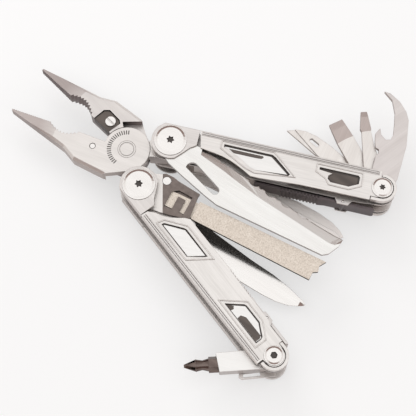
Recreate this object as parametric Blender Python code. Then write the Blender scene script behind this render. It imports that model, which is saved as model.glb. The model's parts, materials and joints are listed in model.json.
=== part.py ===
"""Folding plier multi-tool, fanned open, lying flat on its rear pivot caps.

Lengths are in millimetres in the constants and are turned into metres once.
Tool frame: +X from the jaw tips towards the handle tails, origin at the plier
rivet, z = 0 at the middle of the jaws.  Handle and tool frames start at their
own pivots with x along the piece.
"""

import math

import bmesh
import bpy
from mathutils import Matrix

MM = 0.001

# Placement of the plier rivet in the part's own frame.
RIVET_X = -29.61
RIVET_Y = -10.54
MID_Z = 11.2

# Driving dimensions of the pliers.
JAW_LENGTH = 59.0
JAW_HALF_THICKNESS = 4.3
TIP_HALF_THICKNESS = 2.3
JAW_OPENING = 11.6
BOSS_RADIUS = 11.0
RIVET_RADIUS = 4.2
TANG_RADIUS = 20.7
TANG_ANGLE = 27.4
TANG_EYE_RADIUS = 7.0
TAPER_START = -35.0

# Driving dimensions of the handles.
HANDLE_LENGTH = 100.0
HANDLE_SPLAY = 8.0
HANDLE_HALF_WIDTH = 8.0
TAIL_RADIUS = 6.7
SHEET = 0.8
GAP = 0.2
CHANNEL_HALF_WIDTH = 4.5
POST_RADIUS = 2.5
TAIL_POST_RADIUS = 2.0
BORE_CLEARANCE = 0.1

# Layers from the mid-plane outwards, the same on the front and the rear.
WALL = (CHANNEL_HALF_WIDTH, CHANNEL_HALF_WIDTH + SHEET)
INNER_LAYER = (WALL[1] + GAP, WALL[1] + GAP + 1.8)
OUTER_LAYER = (INNER_LAYER[1] + GAP, INNER_LAYER[1] + GAP + 1.8)
SCALE = (OUTER_LAYER[1] + GAP, OUTER_LAYER[1] + GAP + SHEET)
HEAD = (SCALE[1] + 0.1, MID_Z)

# Opened angles, counted back from each piece's stowed place in its handle.
SERRATED_OPENED = 19.6
SCISSORS_OPENED = 13.8
EXCHANGER_OPENED = 25.9
PLAIN_OPENED = 18.3
AWL_OPENED = 18.4
LARGE_DRIVER_OPENED = 42.0
MEDIUM_DRIVER_OPENED = 63.5
CAN_OPENER_OPENED = 78.0
BIT_HOLDER_OPENED = 56.0
LANYARD_OPENED = 50.0

FRONT = 1
REAR = -1
SIDE_A = 1
SIDE_B = -1


def reset_scene():
    """Remove the start-up objects and make the two collections."""
    for obj in list(bpy.data.objects):
        bpy.data.objects.remove(obj, do_unlink=True)
    for name in ("multi_tool", "cutters"):
        collection = bpy.data.collections.new(name)
        bpy.context.scene.collection.children.link(collection)


def parts():
    return bpy.data.collections["multi_tool"]


def cutters():
    return bpy.data.collections["cutters"]


def make_material(name, colour, roughness, metallic=1.0):
    material = bpy.data.materials.new(name)
    material.use_nodes = True
    shader = material.node_tree.nodes["Principled BSDF"]
    shader.inputs["Base Color"].default_value = (*colour, 1.0)
    shader.inputs["Roughness"].default_value = roughness
    shader.inputs["Metallic"].default_value = metallic
    material.diffuse_color = (*colour, 1.0)
    return material


FINISHES = {
    "brushed": ((0.66, 0.64, 0.62), 0.34),
    "blade": ((0.72, 0.70, 0.68), 0.26),
    "polished": ((0.80, 0.78, 0.76), 0.16),
    "inner": ((0.42, 0.38, 0.40), 0.35),
    "dark": ((0.17, 0.15, 0.14), 0.42),
    "grit": ((0.52, 0.45, 0.37), 0.75),
    "bit": ((0.14, 0.10, 0.09), 0.30),
}


def finish(obj, kind):
    """Give the object its own material of the named finish."""
    colour, roughness = FINISHES[kind]
    obj.data.materials.clear()
    obj.data.materials.append(make_material(obj.name, colour, roughness))


def pivot(name, parent, x=0.0, y=0.0, angle=0.0):
    """An empty on a joint's axis."""
    empty = bpy.data.objects.new(name, None)
    empty.empty_display_size = 5 * MM
    parts().objects.link(empty)
    empty.parent = parent
    empty.location = (x * MM, y * MM, 0.0)
    empty.rotation_euler = (0.0, 0.0, math.radians(angle))
    return empty


def polar(radius, angle):
    return radius * math.cos(math.radians(angle)), radius * math.sin(math.radians(angle))


def arc(x, y, radius, start, end, steps):
    """Points on an arc from start to end, both in degrees."""
    points = []
    for index in range(steps + 1):
        dx, dy = polar(radius, start + (end - start) * index / steps)
        points.append((x + dx, y + dy))
    return points


def circle(x, y, radius, steps=24):
    return arc(x, y, radius, 0.0, 360.0 - 360.0 / steps, steps - 1)


def flip(points, side):
    """Mirror an outline in y when side is -1."""
    return [(x, side * y) for x, y in points]


def wound(points, counter_clockwise):
    area = 0.0
    for (x0, y0), (x1, y1) in zip(points, points[1:] + points[:1]):
        area += x0 * y1 - x1 * y0
    return points if (area > 0) == counter_clockwise else points[::-1]


def mesh_object(name, mesh, parent, cutter=False):
    obj = bpy.data.objects.new(name, mesh)
    obj.parent = parent
    if cutter:
        cutters().objects.link(obj)
        obj.hide_render = True
        obj.display_type = "WIRE"
    else:
        parts().objects.link(obj)
    return obj


def plate(name, outline, layer, parent, holes=(), chamfer=0.0, cutter=False):
    """A flat piece between two heights, from a filled 2D curve with holes."""
    low, high = min(layer), max(layer)
    curve = bpy.data.curves.new(name, "CURVE")
    curve.dimensions = "2D"
    curve.fill_mode = "BOTH"
    curve.extrude = ((high - low) / 2 - chamfer) * MM
    curve.bevel_depth = chamfer * MM
    curve.bevel_resolution = 0
    curve.offset = -chamfer * MM
    loops = [wound(list(outline), True)] + [wound(list(hole), False) for hole in holes]
    for loop in loops:
        spline = curve.splines.new("POLY")
        spline.points.add(len(loop) - 1)
        for point, (x, y) in zip(spline.points, loop):
            point.co = (x * MM, y * MM, 0.0, 1.0)
        spline.use_cyclic_u = True
    holder = bpy.data.objects.new(name + "_outline", curve)
    parts().objects.link(holder)
    bpy.context.view_layer.update()
    depsgraph = bpy.context.evaluated_depsgraph_get()
    mesh = bpy.data.meshes.new_from_object(holder.evaluated_get(depsgraph))
    bpy.data.objects.remove(holder, do_unlink=True)
    bpy.data.curves.remove(curve)
    solid = bmesh.new()
    solid.from_mesh(mesh)
    bmesh.ops.remove_doubles(solid, verts=solid.verts, dist=0.005 * MM)
    bmesh.ops.recalc_face_normals(solid, faces=solid.faces)
    bmesh.ops.translate(solid, verts=solid.verts, vec=(0.0, 0.0, (low + high) / 2 * MM))
    solid.to_mesh(mesh)
    solid.free()
    return mesh_object(name, mesh, parent, cutter)


def rod(name, radius, layer, parent, x=0.0, y=0.0, cutter=False, sides=24, top_radius=None):
    """A cylinder or cone along z."""
    low, high = min(layer), max(layer)
    solid = bmesh.new()
    place = Matrix.Translation((x * MM, y * MM, (low + high) / 2 * MM))
    bmesh.ops.create_cone(solid, cap_ends=True, segments=sides, radius1=radius * MM,
                          radius2=(radius if top_radius is None else top_radius) * MM,
                          depth=(high - low) * MM, matrix=place)
    mesh = bpy.data.meshes.new(name)
    solid.to_mesh(mesh)
    solid.free()
    return mesh_object(name, mesh, parent, cutter)


def block(name, low, high, parent, cutter=False, turn=None):
    """A box between two corners, turned about its own centre by a matrix."""
    solid = bmesh.new()
    size = [(b - a) * MM for a, b in zip(low, high)]
    centre = [(a + b) / 2 * MM for a, b in zip(low, high)]
    place = Matrix.Translation(centre) @ (turn or Matrix()) @ Matrix.Diagonal((*size, 1.0))
    bmesh.ops.create_cube(solid, size=1.0, matrix=place)
    mesh = bpy.data.meshes.new(name)
    solid.to_mesh(mesh)
    solid.free()
    return mesh_object(name, mesh, parent, cutter)


def loft(name, sections, parent, cutter=False):
    """A closed skin through rings with the same number of points."""
    solid = bmesh.new()
    rings = [[solid.verts.new([c * MM for c in point]) for point in ring] for ring in sections]
    count = len(rings[0])
    for first, second in zip(rings, rings[1:]):
        for index in range(count):
            follow = (index + 1) % count
            solid.faces.new((first[index], first[follow], second[follow], second[index]))
    solid.faces.new(rings[0][::-1])
    solid.faces.new(rings[-1])
    bmesh.ops.recalc_face_normals(solid, faces=solid.faces)
    mesh = bpy.data.meshes.new(name)
    solid.to_mesh(mesh)
    solid.free()
    return mesh_object(name, mesh, parent, cutter)


def combine(target, other, operation="DIFFERENCE"):
    """Cut the target with another solid, or join the two."""
    modifier = target.modifiers.new(other.name, "BOOLEAN")
    modifier.operation = operation
    modifier.solver = "EXACT"
    modifier.object = other
    return target


def join(target, other):
    return combine(target, other, "UNION")


def smooth(obj, angle=35.0):
    obj.data.shade_smooth()
    obj.data.set_sharp_from_angle(angle=math.radians(angle))


# ---------------------------------------------------------------- pliers

GRIP_START = -39.0
GRIP_END = -24.5
GRIP_DEPTH = 2.8
MEETING_GAP = 0.15

JAW_SPINE = [(-6.0, -15.5), (-21.4, -13.9), (-28.1, -10.0), (-50.8, -3.3)]
SPINE_CHAMFER = 1.2
CHAMFER_PATH = [(-5.2, -15.58), (-21.83, -13.65), (-28.58, -9.86), (-51.4, -3.13)]
LAP_STEP = [(-11.4, -8.2), (-3.6, -16.2), (9.0, -16.2)]


def tooth_row(start, end, pitch, depth, base):
    """Saw teeth from start to end; base gives the depth of the row at x."""
    points = []
    count = int(round((end - start) / pitch))
    step = (end - start) / count
    for index in range(count):
        x = start + index * step
        points.append((x, -MEETING_GAP - base(x)))
        points.append((x + 0.6 * step, -MEETING_GAP - base(x + 0.6 * step) - depth))
    return points


def grip_hollow(x):
    """Depth of the curved pipe grip at x."""
    span = (x - GRIP_START) / (GRIP_END - GRIP_START)
    return GRIP_DEPTH * math.sin(math.pi * min(max(span, 0.0), 1.0))


def jaw_outline():
    """Closed front jaw: its nose lies below y = 0 and its tang above."""
    tang_x, tang_y = polar(TANG_RADIUS, TANG_ANGLE)
    points = tooth_row(-JAW_LENGTH, GRIP_START, 1.0, 0.35, lambda x: 0.0)
    points += tooth_row(GRIP_START, GRIP_END, 1.6, 1.0, grip_hollow)
    points += [(GRIP_END, -MEETING_GAP)]
    points += arc(0.0, 0.0, BOSS_RADIUS, 180.8, 42.0, 14)
    points += arc(tang_x, tang_y, TANG_EYE_RADIUS, 135.0, -62.0, 13)
    points += arc(0.0, 0.0, BOSS_RADIUS, 2.0, -66.0, 7)
    return points + JAW_SPINE + [(-JAW_LENGTH, -1.0)]


def corner_offsets(path):
    """Each path corner with its mitred direction towards the jaw's middle."""
    normals = []
    for (x0, y0), (x1, y1) in zip(path, path[1:]):
        length = math.dist((x0, y0), (x1, y1))
        normals.append(((y1 - y0) / length, (x0 - x1) / length))
    corners = []
    for point, (ax, ay), (bx, by) in zip(path, normals[:1] + normals, normals + normals[-1:]):
        share = 1.0 + ax * bx + ay * by
        corners.append((point, ((ax + bx) / share, (ay + by) / share)))
    return corners


def spine_chamfer(target, side, parent):
    """Bevel both faces along the jaw's outer edge, mitred at its corners."""
    profile = ((SPINE_CHAMFER + 0.6, 0.6), (-0.6, -SPINE_CHAMFER - 0.6), (-0.8, 0.8))
    for face in (FRONT, REAR):
        rings = []
        for (x, y), (inward_x, inward_y) in corner_offsets(CHAMFER_PATH):
            ring = []
            for inward, height in profile:
                z = face * (JAW_HALF_THICKNESS + height)
                ring.append((x + inward * inward_x, side * (y + inward * inward_y), z))
            rings.append(ring)
        combine(target, loft(target.name + "_chamfer", rings, parent, True))


def taper_jaw(target, parent):
    """Thin the nose from full thickness to the tip."""
    slope = (JAW_HALF_THICKNESS - TIP_HALF_THICKNESS) / (JAW_LENGTH + TAPER_START)
    top = JAW_HALF_THICKNESS + 3.0
    near, far = TAPER_START + 5.0, TAPER_START - 30.0
    for face in (FRONT, REAR):
        profile = [(far, JAW_HALF_THICKNESS - 30.0 * slope), (near, JAW_HALF_THICKNESS + 5.0 * slope),
                   (near, top), (far, top)]
        sections = [[(x, y, face * z) for x, z in profile] for y in (-20.0, 20.0)]
        combine(target, loft(target.name + "_taper", sections, parent, True))


INSERT_OUTLINE = [(-22.2, -0.15), (-12.6, -0.15), (-11.8, -6.6), (-13.2, -7.6), (-19.8, -7.9),
                  (-21.7, -6.0)]
POCKET_OUTLINE = [(-22.5, 2.0), (-12.3, 2.0), (-12.3, -0.2), (-11.5, -6.8), (-13.0, -7.9), (-20.0, -8.2),
                  (-22.0, -6.2)]
INSERT_SCREW = (-15.6, -4.4)
INSERT_LAYER = (-1.2, 3.7)


def make_jaw(name, side, parent):
    """One jaw; the front jaw has side +1 and shows its boss on the front."""
    jaw = plate(name, flip(jaw_outline(), side), (-JAW_HALF_THICKNESS, JAW_HALF_THICKNESS), parent)
    lap_layer = (side * 0.1, -side * (JAW_HALF_THICKNESS + 1.0))
    lap = arc(0.0, 0.0, BOSS_RADIUS + 0.25, -60.0, 216.0, 40) + LAP_STEP
    combine(jaw, plate(name + "_lap", flip(lap, side), lap_layer, parent, cutter=True))
    groove = arc(0.0, 0.0, BOSS_RADIUS + 0.15, -52.0, 52.0, 14)
    groove += arc(0.0, 0.0, BOSS_RADIUS - 0.15, 52.0, -52.0, 14)
    groove_layer = (side * (JAW_HALF_THICKNESS - 0.35), side * (JAW_HALF_THICKNESS + 1.0))
    combine(jaw, plate(name + "_boss_groove", flip(groove, side), groove_layer, parent, cutter=True))
    taper_jaw(jaw, parent)
    spine_chamfer(jaw, side, parent)
    tang_x, tang_y = polar(TANG_RADIUS, TANG_ANGLE)
    through = (-6.0, 6.0)
    rivet_hole = RIVET_RADIUS + BORE_CLEARANCE
    combine(jaw, rod(name + "_rivet_hole", rivet_hole, through, parent, cutter=True))
    combine(jaw, rod(name + "_post_hole", POST_RADIUS + BORE_CLEARANCE, through, parent,
                     tang_x, side * tang_y, cutter=True))
    pocket_low, pocket_high = INSERT_LAYER
    pocket_layer = (-side * (pocket_low - GAP), -side * (pocket_high + 2.0))
    pocket = flip(POCKET_OUTLINE, side)
    combine(jaw, plate(name + "_pocket", pocket, pocket_layer, parent, cutter=True))
    screw_layer = (-side * 5.0, side * 5.0)
    combine(jaw, rod(name + "_screw_hole", 1.5, screw_layer, parent, INSERT_SCREW[0],
                     side * INSERT_SCREW[1], cutter=True, sides=16))
    finish(jaw, "brushed")
    return jaw


def make_cutter(name, screw_name, side, parent):
    """Replaceable wire-cutter insert and its screw, on the jaw's lap side."""
    layer = (-side * INSERT_LAYER[0], -side * INSERT_LAYER[1])
    x, y = INSERT_SCREW[0], side * INSERT_SCREW[1]
    insert = plate(name, flip(INSERT_OUTLINE, side), layer, parent, [circle(x, y, 1.6, 16)])
    finish(insert, "dark")
    shank = rod(screw_name, 1.3, (side * 4.2, -side * 3.8), parent, x, y, sides=16)
    head_layer = (-side * (INSERT_LAYER[1] + 0.1), -side * 4.5)
    head = rod(screw_name + "_head", 2.5, head_layer, parent, x, y, True, 24)
    slot_z = -side * 4.4
    slot = block(screw_name + "_slot", (x - 3.0, y - 0.3, slot_z - 0.3), (x + 3.0, y + 0.3, slot_z + 0.3),
                 parent, True)
    join(shank, head)
    combine(shank, slot)
    finish(shank, "polished")


def make_rivet(parent):
    rivet = rod("plier_rivet", RIVET_RADIUS, (-JAW_HALF_THICKNESS, JAW_HALF_THICKNESS), parent, sides=32)
    for face in (FRONT, REAR):
        groove = plate("rivet_groove", circle(0, 0, 3.5, 24), (face * 4.05, face * 5.0), parent,
                       [circle(0, 0, 3.15, 24)], cutter=True)
        combine(rivet, groove)
    finish(rivet, "brushed")
    smooth(rivet)


# --------------------------------------------------------------- handles

WEB_START = 13.0
WEB_END = 88.0
LEVER_PIVOT = (84.0, -8.9)
HEAD_RADIUS = 8.9
CAP_RADIUS = 7.6


def wall_outline():
    """Inner wall of the channel, rounded at both pivots, with lever ears."""
    points = arc(-3.3, 3.0, 5.0, 180.0, 90.0, 5)
    points += [(94.0, HANDLE_HALF_WIDTH)]
    points += arc(HANDLE_LENGTH, 0.0, TAIL_RADIUS, 80.0, -80.0, 10)
    points += [(92.0, -7.7), (88.0, -7.9), (86.5, -10.2), (81.5, -10.3), (80.0, -7.9)]
    points += arc(-3.3, -3.0, 5.0, -90.0, -180.0, 5)
    return points


WALL_WINDOWS = {
    SIDE_A: [[(75.0, 1.2), (77.5, 3.0), (89.0, 3.0), (89.0, -0.6), (84.6, -3.0), (76.2, -2.8), (75.0, -1.4)]],
    SIDE_B: [[(68.6, 2.8), (70.2, 0.2), (72.6, 0.2), (72.6, 2.8)],
             [(76.4, 2.8), (77.0, -0.4), (78.6, -1.4), (88.6, -1.4), (90.6, 0.2), (90.6, 2.8)]],
}

SCALE_WINDOWS = {
    SIDE_A: [[(24.9, 2.6), (24.9, 3.9), (47.8, 3.9), (49.5, 3.0), (57.6, -3.6), (56.8, -4.6), (41.5, -5.3),
              (38.5, -4.4), (33.0, -1.0)],
             [(70.2, 2.0), (70.2, 3.2), (88.4, 3.2), (89.2, 2.4), (89.2, -0.8), (84.8, -3.1), (76.4, -2.9),
              (74.8, -1.6), (74.8, 0.0), (76.4, 1.4)]],
    SIDE_B: [[(21.8, 3.2), (22.0, 2.0), (29.4, -3.8), (30.8, -4.4), (46.6, -4.2), (46.0, -3.0), (41.0, 3.3)],
             [(68.4, 2.9), (74.0, -3.8), (75.2, -4.3), (84.4, -4.3), (90.4, -1.2), (91.0, 0.0), (91.0, 2.9)]],
}


def scale_outline(side):
    """Outer plate of a handle, with its tongue round the tail screw."""
    tongue = arc(HANDLE_LENGTH, 0.0, 5.0, 74.0, -74.0, 10)
    if side == SIDE_A:
        points = [(12.6, HANDLE_HALF_WIDTH), (98.4, HANDLE_HALF_WIDTH), (98.4, 6.0)]
        points += [(98.6, 4.95)] + tongue[1:-1] + [(98.4, -5.1), (95.4, -5.1), (95.4, -7.0)]
        points += [(63.0, -7.4), (44.0, -8.6), (40.0, -8.6)]
        points += [(36.4, -6.6), (32.8, -4.8), (29.0, -3.2), (25.5, -2.2), (21.0, -1.4), (14.5, -0.4)]
        return points
    points = [(13.0, 4.6), (12.6, HANDLE_HALF_WIDTH), (98.4, HANDLE_HALF_WIDTH), (98.4, 6.0)]
    points += [(98.6, 4.95)] + tongue[1:-1] + [(98.4, -5.1), (97.0, -5.1), (97.0, -7.0)]
    points += [(88.4, -7.0), (86.4, -8.0), (58.6, -8.4), (57.4, -8.7), (27.9, -8.7), (26.0, -7.2)]
    points += [(21.8, -2.1), (19.2, 0.2), (15.8, 2.0)]
    return points


def head_outline():
    """Top plate of the frame round the pivot, up to where the scale starts."""
    points = [(12.4, HANDLE_HALF_WIDTH - 0.02), (-4.4, HANDLE_HALF_WIDTH - 0.02), (-7.4, 5.2)]
    points += arc(0.0, 0.0, HEAD_RADIUS, 152.0, 296.0, 14)
    return points + [(6.4, -5.4), (9.6, -1.6), (12.4, 0.4)]


def band_outline(side):
    """Band that wraps the tail outside the tongue and runs on along the spine."""
    end = 95.7 if side == SIDE_A else 97.3
    outer = arc(HANDLE_LENGTH, 0.0, TAIL_RADIUS, 98.0, -90.0, 12)
    inner = arc(HANDLE_LENGTH, 0.0, 5.3, -90.0, 98.0, 12)
    return outer + [(end, -TAIL_RADIUS - 0.05), (end, -5.25)] + inner


def both_faces(layer, face):
    return face * layer[0], face * layer[1]


def make_frame(letter, side, parent):
    """Channel: two walls and the web along the spine, with rolled edges."""
    name = "handle_%s_frame" % letter
    holes = [circle(0, 0, POST_RADIUS + 0.05, 24), circle(HANDLE_LENGTH, 0, TAIL_POST_RADIUS + 0.05, 20),
             circle(LEVER_PIVOT[0], LEVER_PIVOT[1], 0.7, 12)] + WALL_WINDOWS[side]
    holes = [flip(hole, side) for hole in holes]
    frame = plate(name, flip(wall_outline(), side), both_faces(WALL, FRONT), parent, holes)
    rear_layer = both_faces(WALL, REAR)
    rear = plate(name + "_rear", flip(wall_outline(), side), rear_layer, parent, holes, cutter=True)
    web_y = sorted((side * -7.4, side * -6.5))
    web = block(name + "_web", (WEB_START, web_y[0], -CHANNEL_HALF_WIDTH - 0.4),
                (WEB_END, web_y[1], CHANNEL_HALF_WIDTH + 0.4), parent, True)
    join(frame, web)
    join(frame, rear)
    for face in (FRONT, REAR):
        roll_y = sorted((side * (HANDLE_HALF_WIDTH - SHEET), side * (HANDLE_HALF_WIDTH - 0.02)))
        roll_z = sorted((face * (WALL[0] + 0.4), face * (SCALE[0] + 0.4)))
        roll_y = [roll_y[0] + 0.03, roll_y[1] - 0.03]
        roll = block(name + "_roll", (-3.0, roll_y[0], roll_z[0]), (12.2, roll_y[1], roll_z[1]), parent, True)
        join(frame, roll)
        head = plate(name + "_head", flip(head_outline(), side), both_faces(SCALE, face), parent,
                     [circle(0, 0, POST_RADIUS + 0.05, 24)], cutter=True)
        join(frame, head)
    finish(frame, "brushed")
    return frame


def make_scale(letter, side, face, parent):
    """Outer scale with two windows and a rolled edge back to the wall."""
    name = "handle_%s_%s_scale" % (letter, "front" if face == FRONT else "rear")
    holes = [flip(hole, side) for hole in SCALE_WINDOWS[side]]
    holes.append(circle(HANDLE_LENGTH, 0, TAIL_POST_RADIUS + 0.05, 20))
    scale = plate(name, flip(scale_outline(side), side), both_faces(SCALE, face), parent, holes)
    roll_y = sorted((side * (HANDLE_HALF_WIDTH - SHEET), side * (HANDLE_HALF_WIDTH - 0.02)))
    roll_z = sorted((face * (WALL[1] + GAP), face * (SCALE[1] - 0.4)))
    low, high = (12.8, roll_y[0], roll_z[0]), (98.2, roll_y[1], roll_z[1])
    join(scale, block(name + "_roll", low, high, parent, True))
    finish(scale, "brushed")
    return scale


def torx(x, y, radius, steps=6):
    """Six-lobed recess."""
    points = []
    for index in range(steps * 2):
        reach = radius if index % 2 == 0 else radius * 0.62
        dx, dy = polar(reach, 360.0 * index / (steps * 2))
        points.append((x + dx, y + dy))
    return points


def cap_disc(name, radius, slope, face, parent, x, recess):
    """Raised round head with a sloping rim and a driver recess."""
    low, high = HEAD
    rim = low + 0.3
    disc = rod(name, radius, both_faces((low, rim), face), parent, x, sides=28)
    lower, upper = radius - 0.2, radius - slope
    if face == REAR:
        lower, upper = upper, lower
    top = rod(name + "_top", lower, both_faces((rim - 0.1, high), face), parent, x, cutter=True, sides=28,
              top_radius=upper)
    join(disc, top)
    hole = plate(name + "_recess", recess, both_faces((low + 0.15, high + 1.0), face), parent, cutter=True)
    combine(disc, hole)
    return disc


def make_hardware(letter, side, parent):
    """Posts, caps, washers, spacers, screws and bands of one handle."""
    posts = (
        ("pivot_post_%s" % letter, POST_RADIUS, HEAD[0] - 0.1, 0.0),
        ("tail_post_%s" % letter, TAIL_POST_RADIUS, HEAD[0] - 0.1, HANDLE_LENGTH),
    )
    for name, radius, reach, x in posts:
        post = rod(name, radius, (-reach, reach), parent, x)
        finish(post, "polished")
        smooth(post)
    pivot_bore = circle(0, 0, POST_RADIUS + 0.05, 24)
    tail_bore = circle(HANDLE_LENGTH, 0, TAIL_POST_RADIUS + 0.05, 20)
    tail_recess = torx(HANDLE_LENGTH, 0, 1.5) if side == SIDE_A else circle(HANDLE_LENGTH, 0, 1.6, 6)
    head_radius = 4.9 if side == SIDE_A else 4.5
    washer_layer = INNER_LAYER if side == SIDE_A else OUTER_LAYER
    for face, place in ((FRONT, "front"), (REAR, "rear")):
        label = "%s_%s" % (letter, place)
        cap = cap_disc("pivot_cap_" + label, CAP_RADIUS, 1.5, face, parent, 0.0, torx(0, 0, 1.9))
        head = cap_disc("tail_screw_" + label, head_radius, 1.2, face, parent, HANDLE_LENGTH, tail_recess)
        for piece in (cap, head):
            finish(piece, "polished")
        band_layer = both_faces((OUTER_LAYER[0], SCALE[1]), face)
        band = plate("tail_band_" + label, flip(band_outline(side), side), band_layer, parent)
        finish(band, "brushed")
        spacer_layer = both_faces((INNER_LAYER[0], OUTER_LAYER[1]), face)
        spacer = plate("tail_spacer_" + label, circle(HANDLE_LENGTH, 0, 4.6, 20), spacer_layer, parent,
                       [tail_bore])
        washer = plate("pivot_washer_" + label, circle(0, 0, 5.2, 20), both_faces(washer_layer, face),
                       parent, [pivot_bore])
        for piece in (spacer, washer):
            finish(piece, "inner")


def make_lever(letter, side, parent):
    """Ridged lock lever along the spine, rocking on its pin."""
    name = "lock_lever_%s" % letter
    points = [(42.0, -9.0), (43.0, -8.3)] + arc(*LEVER_PIVOT, 1.3, 155.0, 25.0, 6)
    points += [(98.0, -8.3), (99.0, -9.3), (98.0, -9.6)] + arc(*LEVER_PIVOT, 1.3, -33.0, -147.0, 6)
    points += [(76.0, -9.6)]
    for index in range(12):
        x = 73.0 - index * 1.6
        points += [(x, -10.0), (x - 0.8, -10.0), (x - 0.8, -9.5), (x - 1.6, -9.5)]
    points += [(52.6, -9.5)]
    hole = circle(*LEVER_PIVOT, 0.75, 12)
    lever = plate(name, flip(points, side), (-4.1, 4.1), parent, [flip(hole, side)])
    finish(lever, "inner")
    return lever


def make_liner(letter, side, parent):
    """Spring bar that holds an outer blade open, beside the wall."""
    layer = (INNER_LAYER[0] + 0.1, INNER_LAYER[0] + 0.9)
    if side == SIDE_A:
        points = [(17.0, 0.6), (45.0, 0.6)] + arc(45.0, 1.6, 1.0, -60, 60, 4) + [(45.0, 2.6), (17.0, 2.6)]
    else:
        points = [(50.0, 2.2), (72.0, 4.2), (72.0, 6.4), (50.0, 6.4)]
    liner = plate("blade_lock_%s" % letter, flip(points, side), both_faces(layer, FRONT), parent)
    finish(liner, "brushed")


def make_handle(letter, side, parent, lever_parent):
    make_frame(letter, side, parent)
    for face in (FRONT, REAR):
        make_scale(letter, side, face, parent)
    make_hardware(letter, side, parent)
    make_liner(letter, side, parent)
    pin_x, pin_y = LEVER_PIVOT[0], side * LEVER_PIVOT[1]
    pin = rod("lock_pin_%s" % letter, 0.6, (-5.2, 5.2), parent, pin_x, pin_y, sides=16)
    finish(pin, "polished")
    smooth(pin)
    lever = make_lever(letter, side, parent)
    move_origin(lever, lever_parent, pin_x, pin_y)


def move_origin(obj, parent, x, y):
    """Hang a piece on the empty that stands on its joint's axis."""
    obj.data.transform(Matrix.Translation((-x * MM, -y * MM, 0.0)))
    for modifier in obj.modifiers:
        cutter = modifier.object
        cutter.data.transform(Matrix.Translation((-x * MM, -y * MM, 0.0)))
        cutter.parent = parent
    obj.parent = parent


# ------------------------------------------------------------ outer tools

def blade_section(x, spine, shoulder, edge, layer):
    """Five-sided section of a ground blade at x."""
    low, high = min(layer), max(layer)
    middle = (low + high) / 2
    return [(x, spine, low), (x, spine, high), (x, shoulder, high), (x, edge, middle), (x, shoulder, low)]


def blade(name, stations, layer, parent, tang, bore):
    """Ground blade joined to its flat tang, with the pivot bore cut."""
    sections = [blade_section(x, spine, shoulder, edge, layer) for x, spine, shoulder, edge in stations]
    body = loft(name, sections, parent)
    join(body, plate(name + "_tang", tang, layer, parent, cutter=True))
    combine(body, rod(name + "_bore", bore, (min(layer) - 1, max(layer) + 1), parent, cutter=True))
    return body


def make_serrated_knife(parent):
    stations = [(14.0, -11.4, 2.0, 5.2), (28.8, -13.9, 1.0, 4.6), (34.9, -14.6, 0.2, 4.2),
                (50.0, -13.0, -1.2, 3.6), (66.0, -11.2, -2.0, 2.8), (79.0, -9.7, -2.4, 2.2),
                (87.7, -8.7, -2.2, 2.4), (90.0, -6.6, -1.6, 2.6), (92.0, -1.0, 0.6, 2.7)]
    tang = arc(0, 0, 7.0, 60.0, 270.0, 14)
    tang += [(5.2, -9.6), (14.6, -11.5), (15.6, 2.1), (14.6, 5.0), (8.0, 4.2)]
    knife = blade("serrated_knife", stations, OUTER_LAYER, parent, tang, POST_RADIUS + BORE_CLEARANCE)
    hole = arc(16.0, -5.9, 3.0, 70.0, 200.0, 6) + arc(30.6, -9.2, 2.1, 250.0, 430.0, 6)
    deep = (OUTER_LAYER[0] - 1, OUTER_LAYER[1] + 1)
    combine(knife, plate("knife_thumb_hole", hole, deep, parent, cutter=True))
    scallops = [(26.0, 1.0), (28.6, 1.0), (31.2, 1.0), (43.6, 3.2), (47.6, 1.0), (52.6, 3.2),
                (57.0, 1.0), (61.2, 3.0), (66.0, 1.0), (70.4, 3.0), (74.6, 1.0)]
    for index, (x, radius) in enumerate(scallops):
        edge = 4.7 - 0.042 * (x - 24.0)
        depth = 1.5 if radius > 2.0 else 0.7
        combine(knife, rod("scallop_%02d" % index, radius, deep, parent, x, edge + radius - depth, True, 16))
    finish(knife, "blade")
    return knife


def make_plain_knife(parent):
    layer = both_faces(INNER_LAYER, REAR)
    stations = [(14.0, 7.4, -0.6, -4.4), (22.0, 6.4, -2.6, -7.6), (40.0, 4.6, -3.4, -8.3),
                (60.0, 3.4, -3.6, -8.2), (73.0, 3.2, -3.0, -7.6), (80.7, 2.4, -2.4, -6.7),
                (86.3, 1.4, -1.4, -5.0), (90.0, 0.6, -0.6, -2.8), (92.4, -0.2, -0.6, -1.0)]
    tang = arc(0, 0, 7.0, 90.0, 300.0, 14) + [(9.0, -6.2), (14.8, -4.2), (15.6, -0.6), (14.8, 7.3)]
    knife = blade("plain_knife", stations, layer, parent, tang, POST_RADIUS + BORE_CLEARANCE)
    hole = arc(16.0, 2.4, 2.4, 90.0, 270.0, 6) + arc(28.0, 1.8, 1.8, 270.0, 450.0, 6)
    deep = both_faces((INNER_LAYER[0] - 1, INNER_LAYER[1] + 1), REAR)
    combine(knife, plate("plain_thumb_hole", hole, deep, parent, cutter=True))
    finish(knife, "blade")
    return knife


SCISSOR_PIVOT = (46.0, 0.0)
SCISSOR_UPPER = (-OUTER_LAYER[1], -OUTER_LAYER[1] + 0.8)
SCISSOR_LOWER = (-OUTER_LAYER[0] - 0.8, -OUTER_LAYER[0])


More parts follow.
